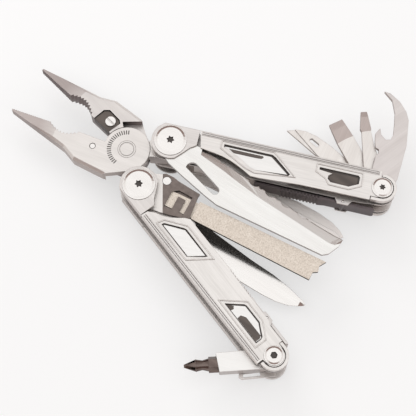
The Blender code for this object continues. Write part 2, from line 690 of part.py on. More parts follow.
def make_scissors(parent, lever_parent):
    """Folding scissors: a fixed blade with the tang, and a sprung blade."""
    pivot_x, pivot_y = SCISSOR_PIVOT
    fixed = arc(0, 0, 6.6, 60.0, 300.0, 14)
    fixed += [(16.0, -6.4), (42.0, -6.2), (50.0, -3.6), (64.0, -1.4), (86.0, -1.0)]
    fixed += [(90.0, -0.4), (90.6, 0.6), (88.0, 2.6), (83.0, 4.6), (75.0, 6.0), (64.0, 6.6), (52.0, 5.4)]
    fixed += [(40.0, 3.0), (30.0, -1.4), (14.0, -0.6)]
    body = plate("scissors_fixed_blade", fixed, SCISSOR_UPPER, parent,
                 [circle(pivot_x, pivot_y, 1.6, 16)], chamfer=0.1)
    boss = rod("scissors_hub", 6.0, both_faces(OUTER_LAYER, REAR), parent, cutter=True)
    bore = rod("scissors_bore", POST_RADIUS + BORE_CLEARANCE, (-12, 0), parent, cutter=True)
    join(body, boss)
    combine(body, bore)
    finish(body, "blade")
    moving = [(10.0, 4.6), (12.0, 2.6), (32.0, 1.2), (42.0, -3.8), (52.0, -6.0), (64.0, -6.2),
              (78.0, -5.0), (86.0, -3.4), (90.0, -0.8), (86.0, 0.8), (64.0, 1.4), (52.0, 3.8),
              (40.0, 4.8), (30.0, 6.0), (12.0, 7.0)]
    other = plate("scissors_moving_blade", moving, SCISSOR_LOWER, parent,
                  [circle(pivot_x, pivot_y, 1.6, 16)], chamfer=0.1)
    finish(other, "blade")
    move_origin(other, lever_parent, pivot_x, pivot_y)
    screw_layer = (SCISSOR_UPPER[0], SCISSOR_LOWER[1])
    screw = rod("scissors_screw", 1.5, screw_layer, parent, pivot_x, pivot_y, sides=16)
    finish(screw, "polished")
    smooth(screw)


EXCHANGER = INNER_LAYER
TONGUE_START = 13.5


def make_exchanger(parent):
    """Holder for the file, its latch and the latch's stud."""
    outline = [(6.0, 9.8), (8.2, 11.2), (12.0, 11.2), (15.6, 10.4), (26.7, 9.2), (26.5, 7.7), (27.8, -4.0),
               (14.4, -6.8), (6.0, -7.4)]
    outline += arc(0, 0, 7.0, 270.0, 100.0, 12)
    stud_x, stud_y = 10.1, 8.2
    holes = [circle(0, 0, POST_RADIUS + BORE_CLEARANCE, 24), circle(stud_x, stud_y, 2.15, 20)]
    body = plate("file_exchanger", outline, EXCHANGER, parent, holes)
    low, high = (12.0, -2.9, EXCHANGER[0] + 0.45), (40.0, 7.4, EXCHANGER[1] - 0.45)
    combine(body, block("exchanger_slot", low, high, parent, True))
    window = [(14.6, -3.4), (14.6, 4.6), (17.4, 6.6), (24.4, 6.2), (24.4, -3.0), (22.2, -3.0), (22.2, 3.6),
              (18.4, 3.8), (18.4, -3.2)]
    raised = (EXCHANGER[1] - 0.5, EXCHANGER[1] + 1.0)
    combine(body, plate("exchanger_window", window, raised, parent, cutter=True))
    finish(body, "dark")
    stud_layer = (EXCHANGER[0] + 0.05, EXCHANGER[1] + 0.05)
    stud = rod("exchanger_stud", 2.0, stud_layer, parent, stud_x, stud_y, sides=20)
    finish(stud, "polished")
    smooth(stud)


def make_file(parent):
    """Coated file with a fish-mouth end and a tongue in the exchanger."""
    outline = [(28.4, 6.0), (92.2, 6.1), (90.2, 3.0), (90.9, 0.3), (88.8, -1.0), (88.8, -4.8), (28.4, -3.2)]
    body = plate("file", outline, INNER_LAYER, parent)
    low, high = (TONGUE_START, -2.6, EXCHANGER[0] + 0.6), (30.0, 5.2, EXCHANGER[1] - 0.6)
    join(body, block("file_tongue", low, high, parent, True))
    finish(body, "grit")
    return body


# ------------------------------------------------------------ inner tools

INNER_THICKNESS = 2.0
INNER_STEP = 2.2


def inner_layer(index):
    """Layer of the inner tools in handle A, from the rear to the front."""
    low = -4.3 + index * INNER_STEP
    return low, low + INNER_THICKNESS


def inner_tool(name, outline, layer, parent, holes=()):
    """A tool on the tail post: its eye joined to its outline."""
    body = plate(name, outline, layer, parent, holes)
    join(body, rod(name + "_eye", 4.2, layer, parent, cutter=True))
    deep = (min(layer) - 0.5, max(layer) + 0.5)
    combine(body, rod(name + "_bore", TAIL_POST_RADIUS + BORE_CLEARANCE, deep, parent, cutter=True, sides=20))
    return body


def tilted_cut(target, name, centre, angle, tilt, parent, size=(14.0, 12.0, 4.0)):
    """Grind a flat at a tilt across the end of a tool."""
    x, y, z = centre
    turn = Matrix.Rotation(math.radians(angle), 4, "Z") @ Matrix.Rotation(math.radians(tilt), 4, "Y")
    low = (x - size[0] / 2, y - size[1] / 2, z - size[2] / 2)
    high = (x + size[0] / 2, y + size[1] / 2, z + size[2] / 2)
    combine(target, block(name, low, high, parent, True, turn))


def make_awl(parent):
    layer = inner_layer(0)
    outline = [(0.0, -4.0), (8.0, -6.0), (22.2, -8.4), (32.0, -10.4), (40.3, -11.2), (45.8, -10.6),
               (50.3, -8.8), (53.6, -6.4), (36.4, -2.9), (20.0, -1.4), (8.0, 2.4), (0.0, 4.0)]
    eye = arc(41.0, -8.0, 1.0, -80.0, 100.0, 4) + arc(37.6, -7.4, 1.0, 100.0, 280.0, 4)
    awl = inner_tool("awl", outline, layer, parent, [eye])
    tilted_cut(awl, "awl_grind", (45.0, -4.2, layer[1] + 1.4), -20.0, 0.0, parent, (30.0, 4.4, 4.0))
    finish(awl, "blade")


def make_large_driver(parent):
    layer = inner_layer(1)
    outline = [(0.0, -4.1), (15.6, -4.4), (23.3, -6.8), (30.4, -7.8), (40.8, -8.7), (41.8, -1.8), (31.9, 0.6),
               (21.0, 2.2), (8.0, 3.4), (0.0, 4.1)]
    driver = inner_tool("large_flat_driver", outline, layer, parent)
    for face in (FRONT, REAR):
        centre = (41.0, -4.0, sum(layer) / 2 + face * 2.75)
        tilted_cut(driver, "large_driver_grind", centre, -8.0, face * 5.0, parent)
    finish(driver, "blade")


def make_medium_driver(parent):
    layer = inner_layer(2)
    outline = [(0.0, -4.1), (14.0, -4.4), (23.9, -3.9), (31.0, -4.4), (32.6, -4.8), (41.4, -5.2),
               (41.9, -2.3), (33.6, 0.3), (32.0, 0.0), (14.8, 3.7), (0.0, 4.1)]
    driver = inner_tool("medium_flat_driver", outline, layer, parent)
    for face in (FRONT, REAR):
        centre = (41.0, -3.4, sum(layer) / 2 + face * 2.8)
        tilted_cut(driver, "medium_driver_grind", centre, -6.0, face * 6.0, parent)
    finish(driver, "blade")


def make_can_opener(parent):
    layer = inner_layer(3)
    outline = [(0.0, -4.2), (6.6, -8.0), (23.1, -12.6), (36.3, -14.0), (40.8, -13.0), (46.0, -10.0),
               (50.0, -5.8), (51.0, -3.0), (46.4, -6.6), (40.0, -7.6), (34.3, -7.2), (28.9, -6.6),
               (26.4, -5.2), (26.2, -3.0), (28.8, -0.9), (32.0, -0.5), (29.4, 1.8), (24.9, 2.1),
               (22.2, 1.8), (21.2, 0.4), (19.4, 0.4), (18.4, 1.8), (11.9, 3.5), (0.0, 4.2)]
    opener = inner_tool("can_opener", outline, layer, parent)
    finish(opener, "blade")


BIT_CENTRE = (-0.6, 0.7)
BIT_FLATS = 6.35
HOLDER_LAYER = (-2.9, 4.3)


def lying_prism(name, radius, start, end, centre, parent, sides, cutter=False, end_radius=None):
    """A prism or cone along x."""
    solid = bmesh.new()
    place = Matrix.Translation(((start + end) / 2 * MM, centre[0] * MM, centre[1] * MM))
    place = place @ Matrix.Rotation(math.pi / 2, 4, "Y")
    bmesh.ops.create_cone(solid, cap_ends=True, segments=sides, radius1=radius * MM,
                          radius2=(radius if end_radius is None else end_radius) * MM,
                          depth=(end - start) * MM, matrix=place)
    mesh = bpy.data.meshes.new(name)
    solid.to_mesh(mesh)
    solid.free()
    return mesh_object(name, mesh, parent, cutter)


def make_bit_holder(parent):
    outline = [(0.0, 4.0), (12.0, 4.3), (25.2, 4.0), (24.0, -4.7), (6.0, -4.5), (0.0, -4.0)]
    holder = inner_tool("bit_holder", flip(outline, SIDE_B), HOLDER_LAYER, parent)
    socket = lying_prism("bit_socket", (BIT_FLATS + 0.3) / math.sqrt(3.0), 12.0, 30.0,
                         (-BIT_CENTRE[0], BIT_CENTRE[1]), parent, 6, True)
    combine(holder, socket)
    catch = block("bit_catch_slot", (15.0, -6.0, -0.4), (20.0, 0.0, 1.8), parent, True)
    combine(holder, catch)
    finish(holder, "brushed")


def make_bit(parent):
    """Hexagon bit with a waisted neck and a cross point."""
    centre = (-BIT_CENTRE[0], BIT_CENTRE[1])
    bit = lying_prism("phillips_bit", BIT_FLATS / math.sqrt(3.0), 12.4, 28.6, centre, parent, 6)
    neck = lying_prism("bit_neck", 3.1, 28.0, 31.4, centre, parent, 16, True, 2.2)
    waist = lying_prism("bit_waist", 2.15, 31.0, 34.4, centre, parent, 16, True, 2.8)
    point = lying_prism("bit_point", 2.9, 34.0, 39.6, centre, parent, 16, True, 0.7)
    for section in (neck, waist, point):
        join(bit, section)
    for index in range(4):
        angle = math.radians(45.0 + 90.0 * index)
        dy, dz = 1.9 * math.cos(angle), 1.9 * math.sin(angle)
        turn = Matrix.Rotation(angle, 4, "X")
        low = (34.6, centre[0] + dy - 1.0, centre[1] + dz - 0.7)
        high = (42.0, centre[0] + dy + 1.0, centre[1] + dz + 0.7)
        combine(bit, block("bit_flute", low, high, parent, True, turn))
    finish(bit, "bit")


LANYARD_LAYER = (-4.3, -3.1)


def make_lanyard_loop(parent):
    outline = [(-3.0, 2.6), (-1.8, -4.6), (-1.4, -6.5), (13.4, -8.7), (14.8, -7.8), (14.7, -5.2), (4.6, -4.0),
               (3.2, 2.4)]
    slot = [(5.2, -4.9), (12.8, -6.2), (12.8, -7.7), (5.2, -6.5)]
    outline = flip(outline, SIDE_B)
    loop = inner_tool("lanyard_loop", outline, LANYARD_LAYER, parent, [flip(slot, SIDE_B)])
    finish(loop, "brushed")


# --------------------------------------------------------------- assembly

def main():
    reset_scene()
    root = bpy.data.objects.new("tool_frame", None)
    parts().objects.link(root)
    root.location = (RIVET_X * MM, RIVET_Y * MM, MID_Z * MM)

    jaw_pivots = {
        SIDE_A: pivot("front_jaw_pivot", root, angle=JAW_OPENING),
        SIDE_B: pivot("rear_jaw_pivot", root, angle=-JAW_OPENING),
    }
    make_jaw("jaw_front", SIDE_A, jaw_pivots[SIDE_A])
    make_jaw("jaw_rear", SIDE_B, jaw_pivots[SIDE_B])
    make_cutter("wire_cutter_front", "cutter_screw_front", SIDE_A, jaw_pivots[SIDE_A])
    make_cutter("wire_cutter_rear", "cutter_screw_rear", SIDE_B, jaw_pivots[SIDE_B])
    make_rivet(root)

    handles = {}
    for letter, side in (("a", SIDE_A), ("b", SIDE_B)):
        x, y = polar(TANG_RADIUS, side * TANG_ANGLE)
        handle = pivot("handle_%s_pivot" % letter, jaw_pivots[side], x, y, side * HANDLE_SPLAY)
        lever = pivot("lever_%s_pivot" % letter, handle, LEVER_PIVOT[0], side * LEVER_PIVOT[1])
        make_handle(letter, side, handle, lever)
        handles[side] = handle

    front, rear = handles[SIDE_A], handles[SIDE_B]
    make_serrated_knife(pivot("serrated_knife_pivot", front, angle=-SERRATED_OPENED))
    scissors = pivot("scissors_pivot", front, angle=-SCISSORS_OPENED)
    make_scissors(scissors, pivot("scissors_blade_pivot", scissors, SCISSOR_PIVOT[0], SCISSOR_PIVOT[1]))
    exchanger = pivot("exchanger_pivot", rear, angle=EXCHANGER_OPENED)
    make_exchanger(exchanger)
    make_file(exchanger)
    make_plain_knife(pivot("plain_knife_pivot", rear, angle=PLAIN_OPENED))

    makers = (
        (make_awl, "awl_pivot", AWL_OPENED),
        (make_large_driver, "large_driver_pivot", LARGE_DRIVER_OPENED),
        (make_medium_driver, "medium_driver_pivot", MEDIUM_DRIVER_OPENED),
        (make_can_opener, "can_opener_pivot", CAN_OPENER_OPENED),
    )
    for maker, name, opened in makers:
        maker(pivot(name, front, HANDLE_LENGTH, angle=180.0 - opened))
    holder = pivot("bit_holder_pivot", rear, HANDLE_LENGTH, angle=180.0 + BIT_HOLDER_OPENED)
    make_bit_holder(holder)
    make_bit(holder)
    make_lanyard_loop(pivot("lanyard_pivot", rear, HANDLE_LENGTH, angle=180.0 + LANYARD_OPENED))


main()
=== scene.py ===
"""Looks for the folding plier multi-tool: finishes, softened edges, pressed beads, light and camera."""

import json
import math

import bmesh
import bpy
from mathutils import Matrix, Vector


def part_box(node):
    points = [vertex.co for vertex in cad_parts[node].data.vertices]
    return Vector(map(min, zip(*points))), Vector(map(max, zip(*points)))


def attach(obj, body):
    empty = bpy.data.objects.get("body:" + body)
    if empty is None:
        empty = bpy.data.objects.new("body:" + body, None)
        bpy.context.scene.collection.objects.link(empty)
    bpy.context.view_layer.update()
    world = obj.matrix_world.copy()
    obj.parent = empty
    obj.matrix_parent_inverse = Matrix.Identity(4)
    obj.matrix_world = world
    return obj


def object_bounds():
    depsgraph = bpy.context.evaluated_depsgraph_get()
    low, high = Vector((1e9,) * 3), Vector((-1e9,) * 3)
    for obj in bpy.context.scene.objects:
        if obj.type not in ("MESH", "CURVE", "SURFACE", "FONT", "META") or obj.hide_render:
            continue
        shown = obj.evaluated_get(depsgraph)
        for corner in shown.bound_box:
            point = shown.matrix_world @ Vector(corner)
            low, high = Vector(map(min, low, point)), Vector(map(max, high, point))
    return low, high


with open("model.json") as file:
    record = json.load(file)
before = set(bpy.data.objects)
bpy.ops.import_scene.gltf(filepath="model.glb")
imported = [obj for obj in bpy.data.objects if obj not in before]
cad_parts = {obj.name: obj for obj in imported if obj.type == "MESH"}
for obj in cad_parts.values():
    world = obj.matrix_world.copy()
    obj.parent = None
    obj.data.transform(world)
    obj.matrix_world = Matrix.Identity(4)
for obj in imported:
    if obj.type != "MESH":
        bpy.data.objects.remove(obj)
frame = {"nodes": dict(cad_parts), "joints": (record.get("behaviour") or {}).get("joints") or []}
cad_box = [[float(value) for value in corner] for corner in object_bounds()]
nodes = frame["nodes"]
joints = {joint["name"]: joint for joint in frame["joints"]}
MM = 0.001
MICRON = 0.000001


# ---------------------------------------------------------------- places

def joint_xy(name):
    return Vector(joints[name]["pos_m"][:2])


RIVET = joint_xy("jaw_squeeze")
TANG = {"a": joint_xy("handle_a_fold"), "b": joint_xy("handle_b_fold")}
TAIL = {"a": joint_xy("awl_fold"), "b": joint_xy("bit_holder_fold")}
SIDE = {"a": 1.0, "b": -1.0}
TOP = cad_box[1][2]
SCALE_FACE = {"front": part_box("handle_a_front_scale")[1][2], "rear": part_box("handle_a_rear_scale")[0][2]}
JAW_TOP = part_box("plier_rivet")[1][2]
LEVER_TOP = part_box("lock_lever_a")[1][2]


def heading(start, end):
    return math.atan2(end[1] - start[1], end[0] - start[0])


HANDLE_ANGLE = {letter: heading(TANG[letter], TAIL[letter]) for letter in "ab"}


def on_handle(letter, x, y):
    """World x, y of a point given in a handle's own frame, in millimetres; +y is its mouth side."""
    angle = HANDLE_ANGLE[letter]
    across = SIDE[letter] * y * MM
    along = x * MM
    return Vector((TANG[letter][0] + along * math.cos(angle) - across * math.sin(angle),
                   TANG[letter][1] + along * math.sin(angle) + across * math.cos(angle)))


# ------------------------------------------------------------- materials

def link(tree, source, output, target, socket):
    tree.links.new(source.outputs[output], target.inputs[socket])


def add(tree, kind, **values):
    node = tree.nodes.new(kind)
    for key, value in values.items():
        setattr(node, key, value)
    return node


def blank(name):
    material = bpy.data.materials.new(name)
    material.use_nodes = True
    tree = material.node_tree
    tree.nodes.clear()
    output = add(tree, "ShaderNodeOutputMaterial")
    shader = add(tree, "ShaderNodeBsdfPrincipled")
    link(tree, shader, "BSDF", output, "Surface")
    return material, tree, shader


def ramp(tree, source, output, stops, interpolation="LINEAR"):
    node = add(tree, "ShaderNodeValToRGB")
    node.color_ramp.interpolation = interpolation
    while len(node.color_ramp.elements) > 1:
        node.color_ramp.elements.remove(node.color_ramp.elements[-1])
    for index, (place, colour) in enumerate(stops):
        if index:
            stop = node.color_ramp.elements.new(place)
        else:
            stop = node.color_ramp.elements[0]
            stop.position = place
        stop.color = colour if len(colour) == 4 else (*colour, 1.0)
    link(tree, source, output, node, "Fac")
    return node


def grey(value):
    return value, value, value


def noise(tree, source, scale, detail=2.0, roughness=0.5):
    node = add(tree, "ShaderNodeTexNoise")
    node.inputs["Scale"].default_value = scale
    node.inputs["Detail"].default_value = detail
    node.inputs["Roughness"].default_value = roughness
    link(tree, source, "Vector", node, "Vector")
    return node


def mapped(tree, angle=0.0, stretch=(1.0, 1.0, 1.0)):
    """Object coordinates turned so that x runs along the grain, then stretched."""
    place = add(tree, "ShaderNodeTexCoord")
    turned = add(tree, "ShaderNodeMapping")
    turned.inputs["Rotation"].default_value = (0.0, 0.0, -angle)
    link(tree, place, "Object", turned, "Vector")
    stretched = add(tree, "ShaderNodeMapping")
    stretched.inputs["Scale"].default_value = stretch
    link(tree, turned, "Vector", stretched, "Vector")
    return stretched


def mix(tree, kind, factor, first, second):
    node = add(tree, "ShaderNodeMix", data_type=kind)
    inputs = {"FLOAT": (2, 3), "RGBA": (6, 7)}[kind]
    for source, index in ((factor, 0), (first, inputs[0]), (second, inputs[1])):
        if isinstance(source, tuple) and hasattr(source[0], "outputs"):
            tree.links.new(source[0].outputs[source[1]], node.inputs[index])
        else:
            node.inputs[index].default_value = source
    return node, {"FLOAT": 0, "RGBA": 2}[kind]


def edge_mask(tree, radius):
    """One on edges within the radius, zero on flats; metal() uses it to place a painted highlight on the
    edges.
    """
    rounded = add(tree, "ShaderNodeBevel", samples=4)
    rounded.inputs["Radius"].default_value = radius
    geometry = add(tree, "ShaderNodeNewGeometry")
    dot = add(tree, "ShaderNodeVectorMath", operation="DOT_PRODUCT")
    link(tree, rounded, "Normal", dot, 0)
    link(tree, geometry, "True Normal", dot, 1)
    return ramp(tree, dot, "Value", [(0.80, grey(1.0)), (0.985, grey(0.0))])


def face_rise(tree):
    """The upward part of a face's true normal: one on top, zero on walls, minus one underneath."""
    geometry = add(tree, "ShaderNodeNewGeometry")
    split = add(tree, "ShaderNodeSeparateXYZ")
    link(tree, geometry, "True Normal", split, "Vector")
    return split


def face_level(tree):
    """How level a face is: one on top and underneath, zero on walls."""
    size = add(tree, "ShaderNodeMath", operation="ABSOLUTE")
    link(tree, face_rise(tree), "Z", size, 0)
    return size


def facet_mask(tree):
    """Zero on level faces, one on faces that tilt by more than about four degrees."""
    return ramp(tree, face_level(tree), "Value", [(0.9970, grey(1.0)), (0.9990, grey(0.0))])


def reach_from(tree, centre):
    """Distance from a world x, y point at half the tool's height."""
    place = add(tree, "ShaderNodeTexCoord")
    reach = add(tree, "ShaderNodeVectorMath", operation="DISTANCE")
    link(tree, place, "Object", reach, 0)
    reach.inputs[1].default_value = (centre[0], centre[1], TOP / 2)
    return reach


def nose_mask(tree, near, far):
    """Facet mask that fades in between two distances from the plier rivet; it places a painted darker
    reflection on the tilted nose facets.
    """
    along = add(tree, "ShaderNodeMapRange")
    along.inputs["From Min"].default_value = near
    along.inputs["From Max"].default_value = far
    link(tree, reach_from(tree, RIVET), "Value", along, "Value")
    both = add(tree, "ShaderNodeMath", operation="MULTIPLY")
    link(tree, along, "Result", both, 0)
    link(tree, facet_mask(tree), "Color", both, 1)
    return ramp(tree, both, "Value", [(0.0, grey(0.0)), (1.0, grey(1.0))])


def tip_reflection_mask(tree, centre, start):
    """One beyond a distance from a world x, y point, zero nearer to it; it places a painted darker
    reflection on the driver tips.
    """
    past = add(tree, "ShaderNodeMath", operation="GREATER_THAN")
    past.inputs[1].default_value = start
    link(tree, reach_from(tree, centre), "Value", past, 0)
    return ramp(tree, past, "Value", [(0.0, grey(0.0)), (1.0, grey(1.0))])


def crevice_shade_mask(tree, reach):
    """Painted shade: zero deep in gaps narrower than the reach, one in the open."""
    hidden = add(tree, "ShaderNodeAmbientOcclusion", samples=6)
    hidden.inputs["Distance"].default_value = reach
    return ramp(tree, hidden, "AO", [(0.16, grey(0.10)), (0.62, grey(1.0))])


def wall_shade_mask(tree):
    """One on upright faces, zero on level ones; it places painted shade on the walls."""
    return ramp(tree, face_level(tree), "Value", [(0.25, grey(1.0)), (0.55, grey(0.0))])


def multiplied(tree, factor, base, colour):
    """Base colour multiplied by another colour where the factor is one."""
    node = add(tree, "ShaderNodeMix", data_type="RGBA", blend_type="MULTIPLY")
    if isinstance(factor, float):
        node.inputs[0].default_value = factor
    else:
        link(tree, factor, "Color", node, 0)
    tree.links.new(base, node.inputs[6])
    if isinstance(colour, tuple):
        node.inputs[7].default_value = (*colour, 1.0)
    else:
        tree.links.new(colour.outputs["Color"], node.inputs[7])
    return node


CREVICE_REACH = 3.5 * MM
EDGE_RADIUS = 0.22 * MM
STREAK_SCALE = 1800.0


def metal(name, colour, tint, roughness, grain=0.0, brush=0.25, smudge=0.06, edge_highlight_amount=0.35, metallic=1.0,
          shade=None, nose=None, tip_reflection_band=None, wall_shade=(0.52, 0.47, 0.46)):
    """Brushed metal: streaks along the grain, cloudy smudges, painted highlights on the edges, painted shade
    on walls and in crevices.

    The shade colour is a painted darker reflection, laid on the tilted nose facets and on the driver tips
    that the distances pick out."""
    material, tree, shader = blank(name)
    shader.inputs["Metallic"].default_value = metallic
    streaks = noise(tree, mapped(tree, grain, (0.035, 1.0, 1.0)), STREAK_SCALE, 3.0, 0.65)
    broad = noise(tree, mapped(tree, grain, (0.12, 1.0, 1.0)), 260.0, 2.0)
    clouds = noise(tree, mapped(tree), 70.0, 3.0)
    # Painted highlight on the edges, picked out by the bevel edge mask.
    edge_highlight_mask = edge_mask(tree, EDGE_RADIUS)

    tone = ramp(tree, broad, "Fac", [(0.3, tint), (0.7, colour)])
    fleck = ramp(tree, streaks, "Fac", [(0.25, grey(1.0 - brush)), (0.75, grey(1.0))])
    shaded = multiplied(tree, 1.0, tone.outputs["Color"], fleck)
    # Painted darker reflection on the tilted nose facets.
    if nose:
        shaded = multiplied(tree, nose_mask(tree, *nose), shaded.outputs[2], shade)
    # Painted darker reflection on the driver tips.
    if tip_reflection_band:
        shaded = multiplied(tree, tip_reflection_mask(tree, *tip_reflection_band), shaded.outputs[2], shade)
    # Painted shade on upright faces.
    shaded = multiplied(tree, wall_shade_mask(tree), shaded.outputs[2], wall_shade)
    # Painted highlight colour mixed into the edges by the mask.
    bright = tuple(min(1.0, channel * 1.12 + 0.05) for channel in colour)
    amount = add(tree, "ShaderNodeMath", operation="MULTIPLY")
    amount.inputs[1].default_value = edge_highlight_amount
    link(tree, edge_highlight_mask, "Color", amount, 0)
    edged, out = mix(tree, "RGBA", (amount, "Value"), (shaded, 2), (*bright, 1.0))
    # Painted shade deep in crevices.
    deep = multiplied(tree, 1.0, edged.outputs[out], crevice_shade_mask(tree, CREVICE_REACH))
    tree.links.new(deep.outputs[2], shader.inputs["Base Color"])

    rough = add(tree, "ShaderNodeMapRange")
    rough.inputs["To Min"].default_value = roughness - smudge
    rough.inputs["To Max"].default_value = roughness + smudge
    link(tree, clouds, "Fac", rough, "Value")
    streak_rough = add(tree, "ShaderNodeMath", operation="MULTIPLY_ADD")
    streak_rough.inputs[1].default_value = 0.16 * brush
    link(tree, streaks, "Fac", streak_rough, 0)
    link(tree, rough, "Result", streak_rough, 2)
    link(tree, streak_rough, "Value", shader, "Roughness")

    soft = add(tree, "ShaderNodeBevel", samples=4)
    soft.inputs["Radius"].default_value = EDGE_RADIUS
    bump = add(tree, "ShaderNodeBump")
    bump.inputs["Strength"].default_value = 0.35
    bump.inputs["Distance"].default_value = (20 + 40 * brush) * MICRON
    link(tree, streaks, "Fac", bump, "Height")
    link(tree, soft, "Normal", bump, "Normal")
    link(tree, bump, "Normal", shader, "Normal")
    return material


def grit(name):
    """Sandy abrasive coating with fine light and dark grains on top, and painted shade that turns the
    downward faces dark.
    """
    material, tree, shader = blank(name)
    shader.inputs["Metallic"].default_value = 0.15
    shader.inputs["Roughness"].default_value = 0.6
    clumps = noise(tree, mapped(tree), 1500.0, 4.0, 0.75)
    colour = ramp(tree, clumps, "Fac", [(0.30, (0.46, 0.40, 0.34)), (0.45, (0.66, 0.59, 0.51)),
                                         (0.58, (0.76, 0.69, 0.61)), (0.75, (0.92, 0.87, 0.80))])
    # Painted shade: downward faces are darkened nearly to black.
    underside_shade = ramp(tree, face_rise(tree), "Z", [(0.0, grey(0.05)), (0.3, grey(1.0))])
    toned = multiplied(tree, 1.0, colour.outputs["Color"], underside_shade)
    tree.links.new(toned.outputs[2], shader.inputs["Base Color"])
    bump = add(tree, "ShaderNodeBump")
    bump.inputs["Strength"].default_value = 0.6
    bump.inputs["Distance"].default_value = 60 * MICRON
    link(tree, clumps, "Fac", bump, "Height")
    link(tree, bump, "Normal", shader, "Normal")
    return material


# The clip's edge, and a point on its dark side, in handle B's own frame.
CLIP_EDGE = ((4.2, -10.4), (17.0, -0.8))
CLIP_SIDE = (30.0, -10.0)


def clip_finish(name, light, dark):
    """Light base plate that turns dark beyond a line across it, where the spring clip lies."""
    material, tree, shader = blank(name)
    shader.inputs["Metallic"].default_value = 0.85
    shader.inputs["Roughness"].default_value = 0.4
    start, end = (on_handle("b", *corner) for corner in CLIP_EDGE)
    across = Vector((end[1] - start[1], start[0] - end[0])).normalized()
    if across.dot(on_handle("b", *CLIP_SIDE) - start) < 0:
        across = -across
    place = add(tree, "ShaderNodeTexCoord")
    dot = add(tree, "ShaderNodeVectorMath", operation="DOT_PRODUCT")
    link(tree, place, "Object", dot, 0)
    dot.inputs[1].default_value = (across[0], across[1], 0.0)
    past = add(tree, "ShaderNodeMath", operation="GREATER_THAN")
    link(tree, dot, "Value", past, 0)
    past.inputs[1].default_value = across.dot(start)
    mottle = noise(tree, mapped(tree), 500.0, 3.0, 0.6)
    deep = tuple(channel * 0.85 for channel in dark)
    pale = tuple(channel * 1.15 for channel in dark)
    speck = ramp(tree, mottle, "Fac", [(0.3, deep), (0.7, pale)])
    both, out = mix(tree, "RGBA", (past, "Value"), (*light, 1.0), (speck, "Color"))
    tree.links.new(both.outputs[out], shader.inputs["Base Color"])
    return material


def make_materials():
    angle_a, angle_b = HANDLE_ANGLE["a"], HANDLE_ANGLE["b"]
    warm = (0.86, 0.825, 0.795)
    shade = (0.79, 0.755, 0.725)
    frame_tone, frame_shade = (0.80, 0.76, 0.735), (0.72, 0.68, 0.655)
    # Painted darker reflection colour for the tilted nose facets of the jaws.
    pink = (0.66, 0.605, 0.60)
    nose = (30.0 * MM, 44.0 * MM)
    # Painted shade colour for the upright faces of the handles.
    light_wall_shade = (0.80, 0.755, 0.74)
    # Painted darker reflection colour for the driver tips.
    painted_tip_reflection = (0.64, 0.58, 0.57)
    return {
        "sheet_a": metal("sheet_steel_a", warm, shade, 0.34, angle_a, 0.16, wall_shade=light_wall_shade),
        "sheet_b": metal("sheet_steel_b", warm, shade, 0.34, angle_b, 0.16, wall_shade=light_wall_shade),
        "frame_a": metal("frame_steel_a", frame_tone, frame_shade, 0.34, angle_a, 0.16, wall_shade=light_wall_shade),
        "frame_b": metal("frame_steel_b", frame_tone, frame_shade, 0.34, angle_b, 0.16, wall_shade=light_wall_shade),
        # Both jaws carry the painted darker reflection on their nose facets.
        "jaw_front": metal("jaw_steel_front", (0.85, 0.81, 0.78), (0.78, 0.745, 0.715), 0.36,
                           math.radians(11.6), 0.10, shade=pink, nose=nose),
        # Dark painted shade on the rear jaw's upright faces.
        "jaw_rear": metal("jaw_steel_rear", (0.80, 0.76, 0.73), (0.71, 0.67, 0.65), 0.36,
                          math.radians(-11.6), 0.10, shade=pink, nose=nose, wall_shade=(0.24, 0.20, 0.20)),
        "blade": metal("blade_steel", (0.86, 0.845, 0.82), (0.81, 0.79, 0.765), 0.27, 0.0, 0.10, 0.05),
        "rear_blade": metal("rear_blade_steel", (0.84, 0.815, 0.79), (0.80, 0.77, 0.745), 0.13, 0.0,
                            0.05, 0.03),
        "scissors": metal("scissors_steel", (0.95, 0.90, 0.865), (0.90, 0.85, 0.82), 0.45, 0.0, 0.08,
                          metallic=0.35),
        "tool": metal("tool_steel", (0.86, 0.82, 0.785), (0.78, 0.735, 0.70), 0.34, math.radians(100.0),
                      0.12),
        # The driver tips beyond 31.8 mm from the awl pivot carry the painted darker reflection.
        "driver": metal("driver_steel", (0.86, 0.82, 0.785), (0.78, 0.735, 0.70), 0.34, math.radians(100.0),
                        0.12, shade=painted_tip_reflection, tip_reflection_band=(TAIL["a"], 31.8 * MM)),
        "opener": metal("opener_steel", (0.74, 0.69, 0.67), (0.66, 0.61, 0.59), 0.34, math.radians(70.0),
                        0.10),
        "cap": metal("polished_steel", (0.83, 0.80, 0.775), (0.79, 0.76, 0.735), 0.17, 0.0, 0.03, 0.03, 0.4),
        "inner": metal("inner_steel", (0.36, 0.31, 0.32), (0.26, 0.22, 0.23), 0.36, angle_a, 0.2),
        # Dark coating for the wire cutters, and painted shade for the window slots and the plate behind
        # handle A's second window.
        "dark": metal("dark_coating", (0.16, 0.135, 0.12), (0.10, 0.085, 0.078), 0.46, 0.0, 0.1, 0.06, 0.25,
                      metallic=0.7),
        "clip": clip_finish("exchanger_coating", (0.80, 0.765, 0.735), (0.20, 0.165, 0.15)),
        "plate": metal("window_plate", (0.87, 0.85, 0.83), (0.83, 0.81, 0.79), 0.30, angle_a, 0.08),
        "lever": metal("lever_steel", (0.22, 0.185, 0.19), (0.16, 0.135, 0.14), 0.36, angle_a, 0.2),
        "bit": metal("bit_steel", (0.24, 0.19, 0.17), (0.12, 0.09, 0.08), 0.24, 0.0, 0.1, 0.06, 0.8),
        "grit": grit("file_grit"),
        # Dark print for the boss ticks and the ribs of lever A, and painted shade for the window gaps and
        # recess floors.
        "ink": metal("etched_line", (0.10, 0.09, 0.085), (0.07, 0.06, 0.055), 0.5, 0.0, 0.1, 0.05, 0.0,
                     metallic=0.6),
    }


MATERIALS = make_materials()

